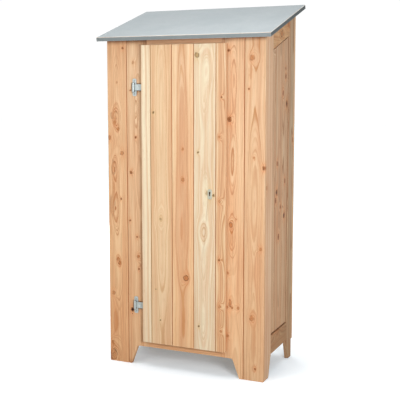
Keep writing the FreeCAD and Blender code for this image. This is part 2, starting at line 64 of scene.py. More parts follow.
def srgb(red, green, blue):
    """Colour as a screen shows it, 0 to 255, turned into the light that a surface sends back."""
    shares = [value / 255 for value in (red, green, blue)]
    light = [s / 12.92 if s <= 0.04045 else ((s + 0.055) / 1.055) ** 2.4 for s in shares]
    return (*light, 1.0)


class Net:
    """The nodes of one material or node group, added and wired by short calls."""

    def __init__(self, tree):
        self.tree = tree

    def feed(self, socket, value):
        """Links a socket to another, or sets it to a constant."""
        if isinstance(value, bpy.types.NodeSocket):
            self.tree.links.new(value, socket)
        else:
            socket.default_value = value

    def node(self, kind, inputs=None, **settings):
        """One node with its settings and its inputs, which are named or numbered."""
        made = self.tree.nodes.new(kind)
        for name, value in settings.items():
            setattr(made, name, value)
        for name, value in (inputs or {}).items():
            self.feed(made.inputs[name], value)
        return made

    def maths(self, operation, *values):
        """Result of one sum on numbers."""
        made = self.node("ShaderNodeMath", dict(enumerate(values)), operation=operation)
        return made.outputs[0]

    def times(self, first, second, more=None):
        """Product of two numbers, with a third added to it where there is one."""
        if more is None:
            return self.maths("MULTIPLY", first, second)
        return self.maths("MULTIPLY_ADD", first, second, more)

    def vectors(self, operation, *values):
        """Result of one sum on vectors."""
        made = self.node("ShaderNodeVectorMath", dict(enumerate(values)), operation=operation)
        return made.outputs[0]

    def length(self, vector):
        """How long a vector is."""
        made = self.node("ShaderNodeVectorMath", {0: vector}, operation="LENGTH")
        return made.outputs["Value"]

    def split(self, vector):
        """The three parts of a vector."""
        return self.node("ShaderNodeSeparateXYZ", {0: vector}).outputs

    def join(self, x, y, z):
        """A vector from its three parts."""
        return self.node("ShaderNodeCombineXYZ", {0: x, 1: y, 2: z}).outputs[0]

    def object_place(self):
        """Place on the surface in the frame of the construction, the same at every pose."""
        return self.node("ShaderNodeTexCoord").outputs["Object"]

    def ramp(self, value, low, high, start=0.0, end=1.0):
        """Smooth step of a value from low to high."""
        inputs = {0: value, 1: low, 2: high, 3: start, 4: end}
        made = self.node("ShaderNodeMapRange", inputs, interpolation_type="SMOOTHSTEP")
        return made.outputs[0]

    def fade(self, value, low, high):
        """Smooth step down, from all at low to nothing at high."""
        return self.ramp(value, low, high, 1.0, 0.0)

    def noise(self, vector, scale, detail=2.0, roughness=0.5):
        """Noise texture in space, as the node, with its value and colour outputs."""
        inputs = {"Vector": vector, "Scale": scale, "Detail": detail, "Roughness": roughness}
        return self.node("ShaderNodeTexNoise", inputs)

    def line_noise(self, at, detail):
        """Noise along a line, as its value."""
        inputs = {"W": at, "Scale": 1.0, "Detail": detail}
        return self.node("ShaderNodeTexNoise", inputs, noise_dimensions="1D").outputs[0]

    def spread(self, place, stretch, seed):
        """A place stretched along its axes and moved by a seed."""
        return self.vectors("ADD", self.vectors("MULTIPLY", place, stretch), seed)

    def marks(self, place, stretch, seed, detail, roughness=0.5):
        """Noise drawn out along the axes, as its value."""
        return self.noise(self.spread(place, stretch, seed), 1.0, detail, roughness).outputs[0]

    def blend(self, share, first, second, way="MIX"):
        """Mix of two colours."""
        inputs = {0: share, 6: first, 7: second}
        made = self.node("ShaderNodeMix", inputs, data_type="RGBA", blend_type=way)
        return made.outputs[2]

    def lay(self, colour, over, mask, share):
        """A second colour laid over the first where a mask is, at a share of its strength."""
        return self.blend(self.times(mask, share), colour, over)

    def dim(self, colour, share):
        """A colour with all of it times a share."""
        return self.blend(1.0, colour, self.join(share, share, share), "MULTIPLY")

    def bump(self, height, strength, distance):
        """Normal of a fine relief."""
        inputs = {"Strength": strength, "Distance": distance, "Height": height}
        return self.node("ShaderNodeBump", inputs).outputs[0]

    def use(self, group, **inputs):
        """A node group placed with its own values, as its outputs."""
        return self.node("ShaderNodeGroup", inputs, node_tree=group).outputs

    def give(self, **results):
        """What a node group puts out, which completes the group."""
        self.node("NodeGroupOutput", results)
        return self.tree


def new_group(name, vectors, numbers, masks):
    """An empty node group with the sockets that three lists name, as its net and its inputs."""
    tree = bpy.data.node_groups.new(name, "ShaderNodeTree")
    sockets = [(title, "INPUT", "NodeSocketVector") for title in vectors.split()]
    sockets += [(title, "INPUT", "NodeSocketFloat") for title in numbers.split()]
    sockets += [(title, "OUTPUT", "NodeSocketFloat") for title in masks.split()]
    for title, way, kind in sockets:
        tree.interface.new_socket(name=title, in_out=way, socket_type=kind)
    net = Net(tree)
    return net, net.node("NodeGroupInput").outputs


# Middle of a noise, which is as often above it as below
EVEN = 0.5
EVEN_VECTOR = (EVEN, EVEN, EVEN)

# Patterns in wood. A stretch says how quickly a pattern changes across a board, into it and along
# it, so a small last number gives marks that run with the grain.
DRIFT_STRETCH = (2.0, 2.0, 1.15)
DRIFT_SCALE = 1.7
RIPPLE_STRETCH = (34.0, 34.0, 4.5)
RIPPLE_DEPTH = 0.0022
CLOUD_STRETCH = (21.0, 21.0, 1.6)
BAND_RATE = 95.0
FINE_FIBRE_STRETCH = (950.0, 950.0, 14.0)
WIDE_FIBRE_STRETCH = (230.0, 230.0, 5.0)
STREAK_STRETCH = (125.0, 125.0, 2.4)
STREAK_SPAN = (0.47, 0.64)
CANAL_STRETCH = (620.0, 620.0, 26.0)
CANAL_SPAN = (0.72, 0.82)

# Years of growth: the parts of a year in which late wood comes and ends, how quickly good and bad
# runs of years change and how far they shift the rings, and how dark the late wood gets
LATE_COMES = (0.30, 0.90)
LATE_ENDS = (0.91, 1.0)
RUN_RATE = 0.31
RUN_SHIFT = 2.6
DARK_YEARS_RARE = 1.8
DARK_SPAN = 0.85
DARK_LEAST = 0.22


def ring_group():
    """Yearly rings about a wandering pith: late wood, the distance from the pith, and bands."""
    net, given = new_group(
        "growth_rings", "Position Pith Seed", "Ring_Width Wander Rise", "Late Radius Cloud"
    )
    at, seed = given["Position"], given["Seed"]
    slow = net.noise(net.spread(at, DRIFT_STRETCH, seed), DRIFT_SCALE, detail=1.0).outputs["Color"]
    slow = net.vectors("SUBTRACT", slow, EVEN_VECTOR)
    drift = net.node("ShaderNodeVectorMath", {0: slow, "Scale": given["Wander"]}, operation="SCALE")
    place = net.vectors("ADD", net.vectors("SUBTRACT", at, given["Pith"]), drift.outputs[0])
    radius = net.length(net.vectors("MULTIPLY", place, (1.0, 1.0, 0.0)))
    ripple = net.maths("SUBTRACT", net.marks(at, RIPPLE_STRETCH, seed, 2.0), EVEN)
    ripple = net.times(ripple, RIPPLE_DEPTH)
    radius = net.maths("ADD", net.maths("ADD", radius, given["Rise"]), ripple)

    seeds = net.split(seed)
    years = net.maths("DIVIDE", radius, given["Ring_Width"])
    run_at = net.maths("ADD", net.times(years, RUN_RATE), seeds[0])
    run = net.times(net.line_noise(run_at, 1.0), RUN_SHIFT)
    years = net.maths("ADD", years, run)
    part = net.maths("FRACT", years)
    grown = net.times(net.ramp(part, *LATE_COMES), net.fade(part, *LATE_ENDS))
    year_seed = net.maths("ADD", net.maths("FLOOR", years), seeds[1])
    lucky = net.node("ShaderNodeTexWhiteNoise", {"W": year_seed}, noise_dimensions="1D")
    strength = net.maths("POWER", lucky.outputs["Value"], DARK_YEARS_RARE)
    strength = net.times(strength, DARK_SPAN, DARK_LEAST)

    band_at = net.maths("ADD", net.times(radius, BAND_RATE), seeds[2])
    cloud = net.marks(at, CLOUD_STRETCH, seed, 3.0, 0.6)
    cloud = net.maths("ADD", cloud, net.line_noise(band_at, 2.0))

    return net.give(Late=net.times(grown, strength), Radius=radius, Cloud=net.times(cloud, 0.5))


def fibre_group():
    """Fine fibres along the grain, darker streaks, and the short dashes of resin canals."""
    net, given = new_group("wood_fibres", "Position Seed", "", "Fibre Streaks Canals")
    at, seed = given["Position"], given["Seed"]
    fine = net.marks(at, FINE_FIBRE_STRETCH, seed, 3.0, 0.62)
    wide = net.marks(at, WIDE_FIBRE_STRETCH, seed, 2.0)
    streaks = net.marks(at, STREAK_STRETCH, seed, 3.0, 0.7)
    canals = net.marks(at, CANAL_STRETCH, seed, 0.0)
    return net.give(
        Fibre=net.times(net.maths("ADD", fine, wide), 0.5),
        Streaks=net.ramp(streaks, *STREAK_SPAN),
        Canals=net.ramp(canals, *CANAL_SPAN),
    )


# How a knot is drawn: distances from its middle are in half widths. The swell is how quickly the
# lift of the rings falls off, and the halo how quickly the stain does, across and along.
KNOT_SWELL = -0.22
KNOT_EDGE = (0.75, 1.10)
KNOT_CORE = (0.30, 0.95)
KNOT_RIM_COMES = (0.62, 0.88)
KNOT_RIM_ENDS = (0.96, 1.22)
KNOT_RIM_BREAKS = (0.36, 0.60)
KNOT_CRACK = (0.004, 0.022)
KNOT_CRACK_DARK = 0.8
KNOT_UNEVEN_SCALE = 0.9
KNOT_RINGS_RATE = 20.0
KNOT_RINGS_DARK = 0.30
KNOT_HALO_ACROSS = 0.42
KNOT_HALO_ALONG = 0.13
KNOT_SEED_STEP = 37.0


def knot_group():
    """One knot or eye of the grain, added to those before it: it lifts the rings round it."""
    own = "Across Along Size Stretch Lift Solid Rim Core"
    chain = "Rise Heart Dark Stain"
    net, given = new_group("knot", "Position", f"{own} {chain}", chain)
    parts = net.split(given["Position"])
    across = net.maths("SUBTRACT", parts[0], given["Across"])
    across = net.maths("DIVIDE", across, given["Size"])
    length = net.times(given["Size"], given["Stretch"])
    along = net.maths("DIVIDE", net.maths("SUBTRACT", parts[2], given["Along"]), length)
    square = net.times(along, along, net.times(across, across))
    distance = net.maths("SQRT", square)

    swell = net.maths("EXPONENT", net.times(square, KNOT_SWELL))
    rise = net.times(swell, given["Lift"], given["Rise"])

    inside = net.fade(distance, *KNOT_EDGE)
    heart = net.maths("MAXIMUM", net.times(inside, given["Solid"]), given["Heart"])

    own_place = net.join(across, along, net.times(given["Along"], KNOT_SEED_STEP))
    uneven = net.noise(own_place, KNOT_UNEVEN_SCALE, detail=2.0, roughness=0.6).outputs[0]
    rim = net.times(net.ramp(distance, *KNOT_RIM_COMES), net.fade(distance, *KNOT_RIM_ENDS))
    rim = net.times(rim, net.ramp(uneven, *KNOT_RIM_BREAKS))
    off_middle = net.maths("ABSOLUTE", net.maths("SUBTRACT", uneven, EVEN))
    crack = net.times(net.ramp(off_middle, *KNOT_CRACK, KNOT_CRACK_DARK, 0.0), inside)
    turns = net.maths("SINE", net.times(distance, KNOT_RINGS_RATE))
    turns = net.times(net.ramp(turns, 0.0, 1.0, 0.0, KNOT_RINGS_DARK), inside)
    drawn = net.maths("MAXIMUM", net.maths("MAXIMUM", rim, crack), turns)
    dark = net.times(drawn, given["Rim"])
    core = net.times(net.fade(distance, *KNOT_CORE), given["Core"])
    dark = net.maths("MAXIMUM", net.maths("MAXIMUM", dark, core), given["Dark"])

    wide = net.times(across, net.times(across, KNOT_HALO_ACROSS))
    tall = net.times(along, along)
    reach = net.times(tall, KNOT_HALO_ALONG, wide)
    halo = net.maths("EXPONENT", net.times(reach, -1.0))
    stain = net.maths("MAXIMUM", net.times(halo, given["Solid"]), given["Stain"])
    return net.give(Rise=rise, Heart=heart, Dark=dark, Stain=stain)


# How alike the rounded and the true normal are from a worn edge to a flat face, where the wear is
# broken up, the share of open sky from deep in a crevice to a free face, and patterns of zinc
WORN_EDGE = (0.80, 0.995)
WORN_PATCHES = (0.34, 0.66)
CREVICE_SKY = (0.28, 0.95)
ROLLING_STRETCH = (7.0, 420.0, 420.0)
PATINA_SCALE = 5.0


def wear_group():
    """Mask of worn edges, broken up so that it isn't an even line."""
    net, given = new_group("edge_wear", "Position", "Width Patches", "Worn")
    soft = net.node("ShaderNodeBevel", {"Radius": given["Width"]}, samples=4).outputs[0]
    flat = net.node("ShaderNodeNewGeometry").outputs["True Normal"]
    alike = net.node("ShaderNodeVectorMath", {0: soft, 1: flat}, operation="DOT_PRODUCT")
    edge = net.fade(alike.outputs["Value"], *WORN_EDGE)
    patches = net.noise(given["Position"], given["Patches"], detail=3.0, roughness=0.6).outputs[0]
    return net.give(Worn=net.times(edge, net.ramp(patches, *WORN_PATCHES)))


def crevice_group():
    """Mask of joints and narrow gaps, where little open sky is seen, for painted shade."""
    net, given = new_group("crevices", "", "Reach", "Depth")
    open_share = net.node("ShaderNodeAmbientOcclusion", {"Distance": given["Reach"]}, samples=6)
    return net.give(Depth=net.fade(open_share.outputs["AO"], *CREVICE_SKY))


def zinc_group():
    """Skin of zinc: faint crystal flakes, clouds of patina and rolling marks."""
    net, given = new_group("zinc_skin", "Position", "Flake_Size", "Flakes Cloud Marks")
    at = given["Position"]
    scale = net.maths("DIVIDE", 1.0, given["Flake_Size"])
    flakes = net.node("ShaderNodeTexVoronoi", {"Vector": at, "Scale": scale})
    tint = net.node("ShaderNodeSeparateColor", {0: flakes.outputs["Color"]})
    cloud = net.noise(at, PATINA_SCALE, detail=4.0, roughness=0.6)
    marks = net.noise(net.vectors("MULTIPLY", at, ROLLING_STRETCH), 1.0, detail=3.0)
    return net.give(Flakes=tint.outputs[0], Cloud=cloud.outputs[0], Marks=marks.outputs[0])


RINGS = ring_group()
FIBRES = fibre_group()
KNOT = knot_group()
WEAR = wear_group()
ZINC = zinc_group()
CREVICES = crevice_group()

# Wood tones, as seen in soft white light: early wood, late wood, and the share of painted shade
# that darkens the tone towards the ground
Tone = namedtuple("Tone", "early late deepened")
SALMON = Tone(srgb(221, 185, 147), srgb(176, 117, 72), 1.0)
ROSE = Tone(srgb(218, 184, 149), srgb(175, 119, 77), 1.0)
HONEY = Tone(srgb(208, 173, 139), srgb(180, 130, 87), 0.8)
AMBER = Tone(srgb(211, 173, 139), srgb(197, 149, 106), 1.0)
PEACH = Tone(srgb(217, 188, 154), srgb(183, 133, 93), 0.9)
TAN = Tone(srgb(217, 185, 149), srgb(200, 160, 119), 0.0)
CREAM = Tone(srgb(225, 208, 180), srgb(213, 188, 154), 0.1)
IVORY = Tone(srgb(219, 202, 175), srgb(195, 166, 128), 0.1)
BUFF = Tone(srgb(210, 177, 147), srgb(176, 130, 92), 0.0)
# FAWN, DUN and UMBER are partly painted shade: darker for the right side, which gets less light
FAWN = Tone(srgb(203, 172, 142), srgb(151, 106, 72), 0.7)
DUN = Tone(srgb(185, 158, 130), srgb(140, 98, 64), 0.9)
OCHRE = Tone(srgb(200, 163, 124), srgb(146, 96, 54), 0.9)
UMBER = Tone(srgb(178, 146, 114), srgb(128, 86, 54), 0.9)
SAPWOOD = srgb(235, 209, 171)
WORN_WOOD = srgb(240, 220, 192)
RESIN = srgb(158, 98, 54)
KNOT_DARK = srgb(74, 39, 18)
HOLE_SHADE = srgb(24, 12, 6)

# Knots of red boards and of pale ones: the stain round the knot and its heart
RED_KNOT = (srgb(206, 132, 78), srgb(182, 112, 60))
OLIVE_KNOT = (srgb(204, 172, 120), srgb(158, 126, 72))

# Tints that multiply the tone: of broad bands in the wood, and the painted shade at a board's
# foot, with the height where that shade ends
RED_BAND = (0.94, 0.81, 0.74, 1.0)
PALE_BAND = (1.05, 1.09, 1.10, 1.0)
GROUND_SHADE = (1.0, 0.92, 0.83, 1.0)
GROUND_SHADE_UP_TO = 1.6

# How strongly each mark shows in the wood, and the spans of the noises that draw them
BOLD_NEAR_KNOTS = 0.50
STREAK_SHARE = 0.42
SAPWOOD_SHARE = 0.5
SAPWOOD_BLUR = 0.006
CLOUD_SPAN = (0.36, 0.64)
FIBRE_SPAN = (0.34, 0.66)
FIBRE_TONES = (0.93, 1.05)
RESIN_SHARE = 0.35
STAIN_SHARE = 0.50
HEART_SHARE = 0.80
KNOT_DARK_SHARE = 0.90
HOLE_SHADE_SPAN = (1.1, 1.6)
KNOT_WARP_SCALE = 70.0
KNOT_WARP = (0.0070, 0.0, 0.0080)
WOOD_WEAR_WIDTH = 0.0016
WOOD_WEAR_PATCHES = 40.0
WOOD_WEAR_SHARE = 0.30

# Roughness and relief of planed wood, and what late wood, fibres and hearts of knots add to them
WOOD_ROUGHNESS = 0.62
LATE_ROUGHNESS = -0.10
FIBRE_ROUGHNESS = 0.10
HEART_ROUGHNESS = -0.12
WOOD_GLOSS = 0.32
LATE_RELIEF = 0.45
HEART_RELIEF = 0.6
WOOD_RELIEF_STRENGTH = 0.35
WOOD_RELIEF_DEPTH = 0.0004

# Painted shade deep in joints and narrow gaps: its colour on the sides, on the other boards and
# beside the palest board, how far it reaches and how strongly it shows
SIDE_CREVICE_SHADE = srgb(112, 66, 34)
JOINT_CREVICE_SHADE = srgb(198, 116, 54)
PALE_CREVICE_SHADE = srgb(194, 156, 92)
CREVICE_REACH = 0.006
CREVICE_SHADE_SHARE = 0.85

# Painted shade in the corners of boards beside a high step, and how far it reaches
CORNER_SHADE = (0.60, 0.48, 0.37, 1.0)
CORNER_REACH = 0.045

# Painted shade of the front boards under the edge of the roof: how far from the roof's underside it
# reaches, the heights between which it comes, and its share on the rail over the door. A power
# under 1 brings a shade up where the sky is only partly hidden.
EAVES_SHADE = (0.10, 0.02, 0.0, 1.0)
EAVES_REACH = 0.040
EAVES_HEIGHTS = (1.585, 1.618)
EAVES_POWER = 0.5
RAIL_SHARE = 0.45

# Painted shadow on the fixed board next to the hinge straps: how far it reaches from the metal, how
# far below, above and to the left of a strap it is drawn, and how softly it ends
STRAP_SHADE = srgb(74, 48, 30)
STRAP_REACH = 0.012
STRAP_MARGINS = (0.016, 0.006, 0.008)
STRAP_BLUR = 0.004
STRAP_POWER = 0.2

# A zinc skin: the size of its crystal flakes, its clean and its dull colour, how metallic and how
# rough it is, and how wide its worn edges are
Metal = namedtuple("Metal", "name flake clean dull metallic rough wear")
ZINC_PLATE = Metal("zinc_plate", 0.004, srgb(204, 212, 211), srgb(176, 188, 190), 0.5, 0.42, 0.0012)
LOCK_PLATE = Metal("lock_plate", 0.004, srgb(206, 203, 186), srgb(180, 180, 162), 0.5, 0.36, 0.0012)
SCREW_PLATE = Metal(
    "screw_plate", 0.003, srgb(190, 196, 197), srgb(160, 165, 168), 0.6, 0.28, 0.0008
)
# On the rolled sheet the worn edges are wide: partly wear, partly a painted highlight
ROLLED_ZINC = Metal(
    "rolled_zinc", 0.012, srgb(168, 175, 177), srgb(156, 164, 167), 0.35, 0.44, 0.004
)
WORN_ZINC = srgb(226, 232, 234)
# Painted highlight along the roof sheet's folds
FOLD_HIGHLIGHT = srgb(226, 224, 216)
# Painted shadow in gaps between metal parts
METAL_SHADOW = srgb(52, 54, 52)

# How strongly the marks of the skin show, with the painted shadow in gaps, the painted highlight
# along the folds, and the painted shade of the roof's front rim and side rims
FLAKE_TONE = 0.05
PATINA_SPAN = (0.35, 0.70)
PATINA_SHARE = 0.6
ZINC_WEAR_PATCHES = 60.0
ZINC_WEAR_SHARE = 0.4
METAL_SHADOW_REACH = 0.016
METAL_SHADOW_SHARE = 0.90
FOLD_HIGHLIGHT_SHARE = 0.75
PATINA_ROUGHNESS = 0.14
MARK_ROUGHNESS = 0.06
ZINC_RELIEF_STRENGTH = 0.12
ZINC_RELIEF_DEPTH = 0.0003
RIM_SHADES = (0.66, 0.34)

# Parts of the folded sheet: from front rim to side rim by how far it faces sideways, and from a rim
# over the fold to the slope by how far it faces up
SIDEWAYS = (0.3, 0.8)
RIM_TO_SLOPE = (0.05, 0.45)
RIM_TO_FOLD = (0.20, 0.45)
FOLD_TO_SLOPE = (0.80, 0.92)

# One board's cut: its tone, where the pith of its trunk lies from the middle of the board, how wide
# the rings are, how much the pith wanders, and beyond which radius the wood is pale sapwood
NO_SAPWOOD = 1.0
Cut = namedtuple("Cut", "tone pith_across pith_depth ring wander sapwood", defaults=(NO_SAPWOOD,))

# A knot, measured on its wall in millimetres: from the left or front edge of the body, and up from
# the ground. size is its half width and stretch its length over its width. A row of the tables
# below that ends early is a tight knot.
Knot = namedtuple("Knot", "across height size kind stretch", defaults=("tight", 1.15))

# Kinds of knot: how far each lifts the rings round it, in metres, how solid its heart is, and how
# dark its rim and its core are. Where the dark goes past 1.1 it is a hole, painted with shade.
Kind = namedtuple("Kind", "Lift Solid Rim Core")
KNOT_KINDS = {
    "tight": Kind(-0.012, 0.72, 0.55, 0.12),
    "ringed": Kind(-0.012, 0.85, 0.85, 0.0),
    "dead": Kind(-0.010, 1.0, 0.95, 0.72),
    "dark": Kind(-0.010, 1.0, 1.0, 1.15),
    "burl": Kind(-0.042, 0.46, 0.75, 0.05),
    "pin": Kind(-0.005, 0.8, 0.5, 0.85),
    "faint": Kind(-0.004, 0.55, 0.3, 0.22),
    "eye": Kind(-0.017, 0.0, 0.0, 0.0),
    "swirl": Kind(-0.024, 0.22, 0.35, 0.05),
    "loop": Kind(-0.022, 0.0, 0.0, 0.0),
    "streak": Kind(0.004, 0.42, 0.10, 0.04),
    "hole": Kind(0.0, 1.0, 1.0, 2.0),
}

FRONT_KNOTS = (
    (87, 1576, 6, "pin"),
    (53, 1411, 5, "faint"),
    (36, 1250, 20, "swirl", 1.2),
    (40, 1214, 9, "tight", 1.3),
    (58, 1183, 8),
    (48, 1330, 16, "eye", 7.0),
    (10, 1139, 8, "tight", 1.4),
    (78, 1063, 10),
    (32, 881, 6, "streak", 6.5),
    (71, 835, 5, "pin"),
    (22, 800, 15, "swirl", 4.0),
    (30, 990, 12, "swirl", 3.0),
    (50, 700, 15, "eye", 8.0),
    (50, 530, 8, "tight", 1.5),
    (60, 510, 9, "ringed", 1.3),
    (24, 353, 9),
    (34, 210, 15, "streak", 4.0),
    (20, 30, 21, "burl", 1.5),
    (14, 96, 7, "tight", 1.3),
    (144, 1506, 6, "faint", 1.5),
    (128, 1371, 4, "pin"),
    (155, 1142, 5, "pin"),
    (150, 1270, 13, "eye", 6.0),
    (128, 970, 7, "dead"),
    (121, 729, 5, "pin"),
    (158, 649, 5, "pin"),
    (165, 552, 8),
    (168, 488, 5, "pin"),
    (130, 278, 10, "hole", 1.1),
    (130, 257, 3, "pin"),
    (644, 1554, 7, "pin"),
    (668, 1420, 15, "eye", 7.0),
    (649, 1238, 10, "dead"),
    (660, 1010, 14, "eye", 6.0),
    (658, 742, 9, "ringed", 1.4),
    (661, 690, 13, "loop", 4.0),
    (662, 694, 9, "streak", 6.0),
    (685, 770, 4, "faint"),
    (645, 510, 6),
    (656, 366, 8, "tight", 2.4),
    (665, 344, 5, "ringed"),
    (695, 346, 7),
    (641, 345, 6),
    (643, 205, 7),
    (759, 1519, 12),
    (744, 1378, 5, "pin"),
    (753, 1455, 6, "streak", 6.0),
    (770, 1062, 6, "faint"),
    (820, 1016, 8, "dead"),
    (806, 636, 7),
    (774, 820, 16, "eye", 8.0),
    (766, 304, 12, "tight", 1.1),
    (770, 250, 19, "eye", 8.0),
    (784, 60, 5, "dead"),
)
DOOR_KNOTS = (
    (265, 1266, 6, "pin"),
    (306, 1410, 15, "eye", 9.0),
    (304, 1040, 16, "eye", 9.0),
    (302, 751, 7, "faint"),
    (300, 757, 17, "loop", 1.4),
    (304, 560, 13, "eye", 9.0),
    (274, 401, 3, "pin"),
    (298, 248, 4, "pin"),
    (414, 1220, 15, "eye", 9.0),
    (421, 1094, 5),
    (421, 948, 8),
    (412, 700, 14, "eye", 9.5),
    (436, 472, 14, "ringed", 1.0),
    (494, 1535, 11, "ringed"),
    (544, 1470, 16, "loop", 2.4),
    (525, 1330, 13, "eye", 4.0),
    (520, 705, 22, "loop", 1.3),
    (499, 1081, 5, "dead"),
    (541, 905, 14, "eye", 3.0),
    (579, 881, 6, "dead"),
    # A soft brown spot just left of the lock plate, drawn as a faint knot
    (544, 890, 6, "faint", 2.0),
    (560.4, 885, 9.5, "hole", 1.8),
    (526, 640, 15, "eye", 10.0),
    (504, 241, 5, "dead"),
    (526, 250, 13, "eye", 5.0),
    (618, 1341, 5, "pin"),
    (609, 1156, 6),
    (611, 854, 6),
    (609, 575, 6, "pin"),
    (613, 350, 7),
    (618, 230, 6),
)
RIGHT_SIDE_KNOTS = (
    (332, 1305, 13, "dark", 1.2),
    (274, 1358, 10, "dead", 1.3),
    (313, 1440, 10, "dead"),
    (313, 1478, 8, "pin"),
    (352, 1528, 10, "dead", 1.3),
    (426, 1124, 10, "dead"),
    (192, 1021, 9, "dead"),
    (27, 921, 9),
    (186, 882, 11, "dark", 1.4),
    (174, 843, 10, "dead"),
    (248, 805, 10, "dead"),
    (313, 926, 10, "dead"),
    (306, 756, 12, "dark", 1.4),
    (223, 661, 12, "dead"),
    (196, 700, 9, "streak", 9.0),
    (206, 190, 12, "swirl", 3.0),
    (230, 1640, 17, "burl", 1.3),
    (342, 1690, 14, "tight", 1.6),
    (120, 1570, 14, "swirl", 1.6),
)

# The cuts of the boards that the photograph shows; the others are drawn by lot
CUTS = {
    "front_outer_board_left": Cut(SALMON, -0.006, 0.062, 0.0040, 0.034),
    "front_inner_board_left": Cut(ROSE, 0.016, 0.055, 0.0038, 0.036),
    "front_inner_board_right": Cut(ROSE, 0.004, 0.060, 0.0040, 0.036),
    "front_outer_board_right": Cut(HONEY, 0.002, 0.058, 0.0042, 0.032),
    "front_top_rail": Cut(ROSE, 0.040, 0.080, 0.0036, 0.020),
    "front_bottom_rail": Cut(ROSE, -0.030, 0.090, 0.0036, 0.020),
    "door_board_1": Cut(CREAM, 0.090, 0.040, 0.0030, 0.018),
    "door_board_2": Cut(TAN, 0.000, 0.075, 0.0048, 0.026),
    "door_board_3": Cut(AMBER, -0.006, 0.066, 0.0052, 0.026, 0.079),
    "door_board_4": Cut(IVORY, 0.004, 0.070, 0.0056, 0.036),
    "door_board_5": Cut(PEACH, 0.030, 0.060, 0.0040, 0.024),
    # The right side's darker tones are partly painted shade, as that side gets less light
    "side_front_stile_right": Cut(BUFF, -0.070, 0.060, 0.0034, 0.024),
    "side_panel_board_front_right": Cut(FAWN, 0.040, 0.050, 0.0036, 0.024),
    "side_panel_board_middle_right": Cut(FAWN, 0.010, 0.060, 0.0042, 0.036),
    "side_panel_board_rear_right": Cut(FAWN, -0.030, 0.070, 0.0038, 0.030),
    "side_rear_stile_right": Cut(DUN, 0.020, 0.060, 0.0038, 0.030),
    "side_bottom_rail_right": Cut(UMBER, 0.050, 0.070, 0.0038, 0.024),
    "side_top_rail_right": Cut(OCHRE, 0.020, 0.060, 0.0050, 0.040),
    "back_board_6": Cut(FAWN, 0.010, 0.060, 0.0038, 0.030),
}

# Boards that no photograph shows: their tones, the spans of the other numbers of their cuts, and
# their knots
OTHER_TONES = (SALMON, ROSE, HONEY, TAN, SALMON, HONEY)
OTHER_CUTS = ((-0.03, 0.03), (0.05, 0.09), (0.0034, 0.0046), (0.022, 0.038))
OTHER_KNOTS = ("tight", "tight", "pin", "eye", "dead")
OTHER_KNOT_SPACING = 0.24
OTHER_KNOT_SIZES_MM = (4, 11)
OTHER_KNOT_STRETCH = 1.2
OTHER_EYE_SIZES_MM = (11, 16)
OTHER_EYE_STRETCHES = (5, 9)
BOARD_SEED = 1000
PANEL_SEED = 2000
SEED_SPREAD = 40.0

# Places with painted shade or painted shadow, and how the names of the boards begin that have them
SHADES = {
    "corner": ("front_inner_board_left", "side_panel", "side_top_rail"),
    "eaves": "front_",
    "rail": "front_top_rail",
    "straps": "front_inner_board_left",
}

# Boards that are joined to a neighbour by a tongue or a groove, with a darker line along it
TONGUED = (
    "front_outer_board_left",
    "front_inner_board_right",
    "side_panel_board_front",
    "side_panel_board_middle",
    *(f"door_board_{number}" for number in range(1, 5)),
    *(f"back_board_{number}" for number in range(1, 6)),
)
GROOVED = (
    "front_inner_board_left",
    "front_outer_board_right",
    "side_panel_board_middle",
    "side_panel_board_rear",
    *(f"door_board_{number}" for number in range(2, 6)),
    *(f"back_board_{number}" for number in range(2, 7)),
)
TONGUE_LENGTH = 0.008
JOINT_LINE = 0.0036
JOINT_STAIN = (0.80, 0.63, 0.45, 1.0)
JOINT_SHARE = 0.75
FAINT_JOINT_SHARE = 0.35
FAINT_JOINTS = ("door_board_1", "door_board_3")

# How far each face of the cabinet is turned from the front, in degrees
FACE_ANGLES = {"front": 0, "right": 90, "back": 180, "left": -90}

# Words in the names of boards that lie level
LYING = ("rail", "ledge", "cleat", "bearer", "batten")

# Nodes that are panels of glued staves, the turn from an upright board to how the staves lie, and
# how far along the trunk each stave is from the one before
GLUED = ("floor_panel", "shelf_low", "shelf_high", "roof_deck")
FLAT = Matrix.Rotation(math.radians(90), 3, "Z") @ Matrix.Rotation(math.radians(90), 3, "X")
PANEL_CUT = Cut(HONEY, 0.012, 0.05, 0.0040, 0.030)
STAVE_WIDTH = 0.072
STAVE_STEP = 2.7

# Eased edges: widths of the round on boards and on panels, and the degrees that make an edge sharp
BOARD_ROUND = 0.0008
PANEL_ROUND = 0.0010
ROUND_SEGMENTS = 2
ROUND_FROM = 35
JOINED_WITHIN = 0.00002


def new_material(name):
    """A material with one Principled shader, as the material, its net and the shader's inputs."""
    material = bpy.data.materials.new(name)
    material.use_nodes = True
    net = Net(material.node_tree)
    shader = material.node_tree.nodes["Principled BSDF"]
    return material, net, shader.inputs


def new_object(name, data):
    """An object in the scene, made of a mesh, light or camera."""
    made = bpy.data.objects.new(name, data)
    bpy.context.scene.collection.objects.link(made)
    return made


def crevices(net, reach):
    """Mask of joints and corners, out to a reach, for painted shade."""
    return net.use(CREVICES, Reach=reach)["Depth"]


def face_of(node):
    """Which way a board's good face looks: front, right, left or back."""
    first, last = node.split("_")[0], node.split("_")[-1]
    if first == "back":
        return "back"
    return last if first != "front" and last in ("left", "right") else "front"


def board_turn(node, lies):
    """Turn from an upright board that faces the front to how this one stands or lies."""
    turn = Matrix.Rotation(math.radians(90), 3, "Y") if lies else Matrix.Identity(3)
    return Matrix.Rotation(math.radians(FACE_ANGLES[face_of(node)]), 3, "Z") @ turn


def wood_place(net, node, turn):
    """Position in a board's own axes: across it, into it and along it, from the middle."""
    low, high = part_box(node)
    inputs = {0: net.object_place(), 1: (low + high) / 2, 2: turn.to_euler()}
    return net.node("ShaderNodeMapping", inputs, vector_type="TEXTURE").outputs[0]


